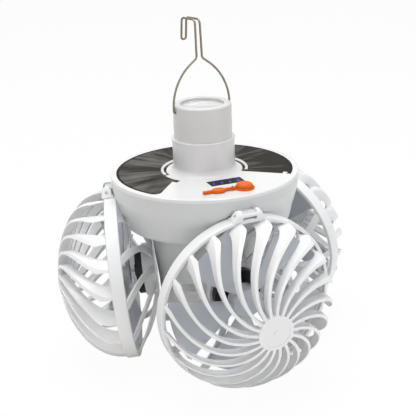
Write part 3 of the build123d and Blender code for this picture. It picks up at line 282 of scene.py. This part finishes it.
def film_math(operation, first, second=None):
    node = film_tree.nodes.new("ShaderNodeMath")
    node.operation = operation
    for index, value in enumerate((first, second)):
        if value is None:
            continue
        if isinstance(value, (int, float)):
            node.inputs[index].default_value = value
        else:
            film_tree.links.new(value, node.inputs[index])
    return node.outputs[0]


across = film_split.outputs["X"]
along = film_split.outputs["Y"]
across_squared = film_math("MULTIPLY", across, across)
along_squared = film_math("MULTIPLY", along, along)
radius = film_math("SQRT", film_math("ADD", across_squared, along_squared))
bearing = film_math("ARCTAN2", along, across)
# Painted reflection: grey streaks running out from the neck, noise laid along the bearing and changing
# slowly outward.
ray_place = film_tree.nodes.new("ShaderNodeCombineXYZ")
film_tree.links.new(film_math("COSINE", bearing), ray_place.inputs["X"])
film_tree.links.new(film_math("SINE", bearing), ray_place.inputs["Y"])
reflection_change_outward = 4.0
film_tree.links.new(film_math("MULTIPLY", radius, reflection_change_outward), ray_place.inputs["Z"])
reflection_streaks = film_tree.nodes.new("ShaderNodeTexNoise")
reflection_streaks.inputs["Scale"].default_value = 6.5
reflection_streaks.inputs["Detail"].default_value = 5.0
reflection_streaks.inputs["Roughness"].default_value = 0.6
film_tree.links.new(ray_place.outputs[0], reflection_streaks.inputs["Vector"])
finger_pitch = 0.0021
finger_edge = 0.45
finger_shine = 0.10
finger_count = film_math("FRACT", film_math("DIVIDE", along, finger_pitch))
finger_place = film_math("ABSOLUTE", film_math("SUBTRACT", finger_count, 0.5))
finger_line = film_math("MULTIPLY", film_math("GREATER_THAN", finger_place, finger_edge), finger_shine)
# The painted reflection lightens the cells where the streak noise passes its start, and the silver
# fingers add their fine lines.
reflection_start = 0.40
reflection_contrast = 3.0
reflection_above = film_math("SUBTRACT", reflection_streaks.outputs["Fac"], reflection_start)
reflection_share = film_math("MULTIPLY", reflection_above, reflection_contrast)
reflection_and_fingers = film_math("ADD", reflection_share, finger_line)
# Painted shade: the cells darken towards one side of the panel, taken off the painted reflection and
# fingers.
painted_shade_fade = film_tree.nodes.new("ShaderNodeMapRange")
painted_shade_fade.interpolation_type = "SMOOTHSTEP"
painted_shade_fade.inputs["From Min"].default_value = 0.012
painted_shade_fade.inputs["From Max"].default_value = 0.05
painted_shade_fade.inputs["To Max"].default_value = 0.55
film_tree.links.new(across, painted_shade_fade.inputs["Value"])
cells_reflection_less_shade = film_math("SUBTRACT", reflection_and_fingers, painted_shade_fade.outputs["Result"])
# The cells' own near-black, mixed towards a grey that stands for the silver fingers and the painted
# reflection.
cell_and_reflection_tone = film_tree.nodes.new("ShaderNodeMix")
cell_and_reflection_tone.data_type = "RGBA"
cell_and_reflection_tone.clamp_factor = True
cell_and_reflection_tone.inputs["A"].default_value = (0.014, 0.011, 0.007, 1)
cell_and_reflection_tone.inputs["B"].default_value = (0.19, 0.185, 0.175, 1)
film_tree.links.new(cells_reflection_less_shade, cell_and_reflection_tone.inputs["Factor"])
rim_margin = 0.0016
edge_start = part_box("solar_panel")[1][0] - rim_margin
cut_middle = radians(-68.6)
cut_half = radians(50.9)
margin_width = 0.0011
from_middle = film_math("ABSOLUTE", film_math("SUBTRACT", bearing, cut_middle))
from_cut = film_math("SUBTRACT", from_middle, cut_half)
beside_cut = film_math("LESS_THAN", film_math("MULTIPLY", from_cut, radius), margin_width)
margin = film_math("MAXIMUM", film_math("GREATER_THAN", radius, edge_start), beside_cut)
edge_tone = film_tree.nodes.new("ShaderNodeMix")
edge_tone.data_type = "RGBA"
edge_tone.inputs["B"].default_value = (0.004, 0.004, 0.005, 1)
film_tree.links.new(margin, edge_tone.inputs["Factor"])
film_tree.links.new(cell_and_reflection_tone.outputs["Result"], edge_tone.inputs["A"])
film_tree.links.new(edge_tone.outputs["Result"], film_shader.inputs["Base Color"])
film_shader.inputs["Specular IOR Level"].default_value = 0.0
film_shader.inputs["Coat Weight"].default_value = 0.22
film_shader.inputs["Coat Roughness"].default_value = 0.08
dress(["solar_panel"], film)

# ---------------------------------------------------------------- neck trim
# A half-round bead of bright plated plastic round the sleeve's foot, pressed into a
# groove of the panel.
plating, plating_tree, plating_shader = new_finish("trim_plating", (0.86, 0.86, 0.85), 0.12, 1.0)
plating_place = add_grain(plating_tree, plating_shader, 700.0, 0.08, 0.0001)
bright_plating = (0.9, 0.9, 0.89)
dull_plating = (0.62, 0.62, 0.6)
add_tone(plating_tree, plating_shader, plating_place, 60.0, bright_plating, dull_plating, 0.08, 0.22)
dress(["neck_trim"], plating)

# ---------------------------------------------------------------- indicator window
# A strip of smoked black plastic glued into the lid, glossy, with four holes through
# which the LEDs show.
smoke, smoke_tree, smoke_shader = new_finish("window_black", (0.008, 0.008, 0.012), 0.15)
add_grain(smoke_tree, smoke_shader, 500.0, 0.05, 0.0002)
smoke_shader.inputs["Specular IOR Level"].default_value = 0.05
dress(["indicator_window"], smoke)

# ---------------------------------------------------------------- indicator LEDs
# Four small blue LEDs in clear resin, soldered to the control board and lit, their
# tips level with the window.
glow, glow_tree, glow_shader = new_finish("led_blue", (0.05, 0.06, 0.8), 0.2)
glow_shader.inputs["Emission Color"].default_value = (0.08, 0.06, 1.0, 1)
glow_shader.inputs["Emission Strength"].default_value = 1.1
add_grain(glow_tree, glow_shader, 900.0, 0.1, 0.0001)
dress(["indicator_leds"], glow)

# ---------------------------------------------------------------- power button
# A domed push button of satin orange plastic that slides in the lid, inside the
# rubber collar of the port cover.
def orange_finish(name, light, dark, low, high):
    material, tree, shader = new_finish(name, light, low)
    place = add_grain(tree, shader, 1300.0, 0.15, 0.0002)
    add_tone(tree, shader, place, 180.0, light, dark, low, high)
    shader.inputs["Specular IOR Level"].default_value = 0.25
    return material


button_orange = orange_finish("button_orange", (0.70, 0.13, 0.006), (0.66, 0.118, 0.005), 0.35, 0.5)
dress(["power_button"], button_orange)

# ---------------------------------------------------------------- port cover and its anchor
# One orange rubber moulding: the collar round the button, the strap and the plug
# over the charging socket, with its pull tab.
rubber_orange = orange_finish("rubber_orange", (0.71, 0.135, 0.008), (0.67, 0.122, 0.006), 0.45, 0.6)
dress(["strap_anchor", "port_cover"], rubber_orange)

# ---------------------------------------------------------------- neck cap
# The tube that holds the torch, pressed into the sleeve: the same white plastic,
# its colour painted greyer than the lid's as shade on the neck's front.
neck_white = moulded_white("neck_white", (0.66, 0.655, 0.64), (0.645, 0.64, 0.63), 0.3, 0.4)
dress(["neck_cap"], neck_white)

# ---------------------------------------------------------------- torch lens and reflector
# A slightly domed lens of hazy clear plastic over a bright vacuum-plated cup, both
# held by the neck's lip.
lens, lens_tree, lens_shader = new_finish("torch_lens", (0.99, 0.99, 0.995), 0.03)
lens_shader.inputs["Transmission Weight"].default_value = 0.55
lens_shader.inputs["IOR"].default_value = 1.45
add_grain(lens_tree, lens_shader, 300.0, 0.05, 0.0001)
dress(["torch_lens"], lens)
dress(["torch_reflector"], bare_steel("plated_cup", (0.85, 0.85, 0.86), 0.04, 0.09))

# ---------------------------------------------------------------- hanging hook
# One length of spring wire, bent cold and left bare, dull with handling. Its two
# ends spring into holes in the neck.
dress(["hanging_hook"], bare_steel("hook_wire", (0.245, 0.22, 0.165), 0.3, 0.5))

# ---------------------------------------------------------------- housing screws
# Zinc-plated cross-head screws, driven up through the bowl's bosses into those of
# the lid.
screw_steel = bare_steel("screw_steel", (0.56, 0.56, 0.57), 0.25, 0.4)
dress(["housing_screws"], screw_steel)

# ---------------------------------------------------------------- pod guards
# Front and rear shells of each fan, moulded in glossy white plastic and pressed
# together along the band; their colour is painted brighter than the lid's, as painted light on the low
# pods.
pod_names = ("left_pod", "front_pod", "right_pod")
lit_guard_white = moulded_white("lit_guard_white", (0.87, 0.87, 0.87), (0.85, 0.85, 0.855), 0.3, 0.42)
dress([pod + "_front_guard" for pod in pod_names], lit_guard_white)
dress([pod + "_rear_guard" for pod in pod_names], lit_guard_white)

# ---------------------------------------------------------------- motors
# Flat brushless motors in black anodised cans, screwed to the plate of the rear
# guard with three small screws.
motor_black, motor_tree, motor_shader = new_finish("motor_black", (0.015, 0.015, 0.017), 0.35, 0.4)
add_grain(motor_tree, motor_shader, 1000.0, 0.15, 0.0002)
dress([pod + "_motor" for pod in pod_names], motor_black)
dress([pod + "_motor_screws" for pod in pod_names], screw_steel)
dress([pod + "_motor_shaft" for pod in pod_names], screw_steel)
dress([pod + "_hinge_pin" for pod in pod_names], screw_steel)

# ---------------------------------------------------------------- impellers
# Five-bladed fan wheels, moulded in smoky clear plastic and pressed on to the motor
# shafts.
blade_grey, blade_tree, blade_shader = new_finish("blade_grey", (0.70, 0.73, 0.78), 0.22)
add_grain(blade_tree, blade_shader, 500.0, 0.05, 0.0002)
blade_shader.inputs["Transmission Weight"].default_value = 0.25
blade_shader.inputs["IOR"].default_value = 1.4
dress([pod + "_impeller" for pod in pod_names], blade_grey)
